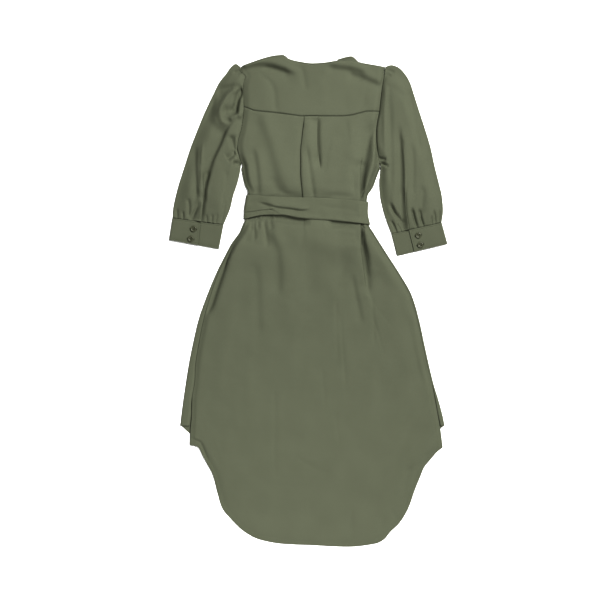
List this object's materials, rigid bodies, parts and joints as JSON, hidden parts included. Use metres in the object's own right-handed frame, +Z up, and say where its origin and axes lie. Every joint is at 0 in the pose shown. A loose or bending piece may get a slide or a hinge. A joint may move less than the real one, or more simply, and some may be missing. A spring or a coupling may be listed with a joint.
{
  "type": "wrap dress, laid flat",
  "caption": "Wrap dress with a back yoke, box pleat, puffed sleeves in buttoned cuffs, a tie sash and a long shirt-tail hem, laid flat with its back up.",
  "frame": {"origin": "middle of the laid-out dress on the surface that it lies on", "axes": "+Y from the hem towards the neck, +X towards the dress's right sleeve, which lies on the right with the back side up, +Z up from the surface"},
  "size_m": [0.6964, 1.2296, 0.011],
  "materials": {
    "olive_crepe": "matt olive green crepe, single layer",
    "olive_crepe_double": "the same matt olive green crepe, double and pressed",
    "button_resin": "satin olive brown resin"
  },
  "bodies": {
    "root": {"back_panel": "olive_crepe", "back_yoke": "olive_crepe", "front_over": "olive_crepe", "front_under": "olive_crepe", "sleeve_left": "olive_crepe", "sleeve_right": "olive_crepe", "cuff_left": "olive_crepe_double", "cuff_right": "olive_crepe_double", "sash": "olive_crepe_double", "button_left_1": "button_resin", "button_left_2": "button_resin", "button_right_1": "button_resin", "button_right_2": "button_resin"}
  },
  "joints": []
}
